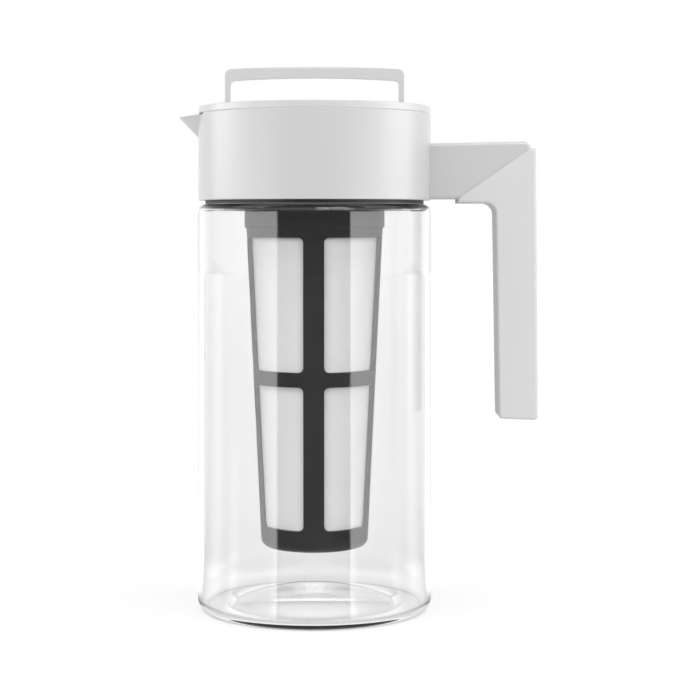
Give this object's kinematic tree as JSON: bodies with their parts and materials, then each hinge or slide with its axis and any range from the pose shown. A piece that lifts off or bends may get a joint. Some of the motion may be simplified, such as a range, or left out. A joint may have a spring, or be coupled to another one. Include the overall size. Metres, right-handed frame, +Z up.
{
  "type": "cold brew coffee maker",
  "caption": "Clear pitcher with a white pouring collar and side handle, a twist-lock lid with a fold-down handle, and a mesh filter that screws onto the lid.",
  "frame": {"origin": "on the vessel's axis, in the plane that its base stands on", "axes": "+Z up, +X towards the handle, -X towards the spout"},
  "size_m": [0.1749, 0.1142, 0.2651],
  "materials": {
    "clear_plastic": "clear gloss",
    "white_plastic": "gloss",
    "soft_grip": "satin",
    "dark_plastic": "satin",
    "dark_rubber": "matt",
    "silicone": "satin",
    "mesh": "fine woven mesh"
  },
  "bodies": {
    "pitcher": {"vessel": "clear_plastic", "collar_gasket": "dark_rubber", "pour_collar": "white_plastic", "handle_grip": "soft_grip"},
    "seal_ring": {"lid_seal": "silicone"},
    "lid": {"lid_cap": "white_plastic", "lid_plug": "white_plastic"},
    "bail": {"lid_handle": "white_plastic"},
    "filter_washer": {"filter_seal": "silicone"},
    "filter": {"filter_frame": "dark_plastic", "filter_mesh": "mesh"}
  },
  "joints": [
    {"name": "lid_lift", "type": "slide", "parent": "pitcher", "child": "seal_ring", "axis": [0, 0, 1], "range_m": [0, 0.225]},
    {"name": "lid_twist", "type": "hinge", "parent": "seal_ring", "child": "lid", "pos_m": [0, 0, 0.2183], "axis": [0, 0, 1], "range_deg": [-60, 0]},
    {"name": "lid_handle_fold", "type": "hinge", "parent": "lid", "child": "bail", "pos_m": [0, 0, 0.2423], "axis": [1, 0, 0], "range_deg": [-90, 0]},
    {"name": "filter_drop", "type": "slide", "parent": "lid", "child": "filter_washer", "axis": [0, 0, -1], "range_m": [0, 0.01]},
    {"name": "filter_unscrew", "type": "hinge", "parent": "filter_washer", "child": "filter", "pos_m": [0, 0, 0.1982], "axis": [0, 0, 1], "range_deg": [-360, 0]}
  ],
  "couplings": [
    {"joint": "filter_drop", "follows": "filter_unscrew", "m_per_rad": -0.0015915}
  ]
}
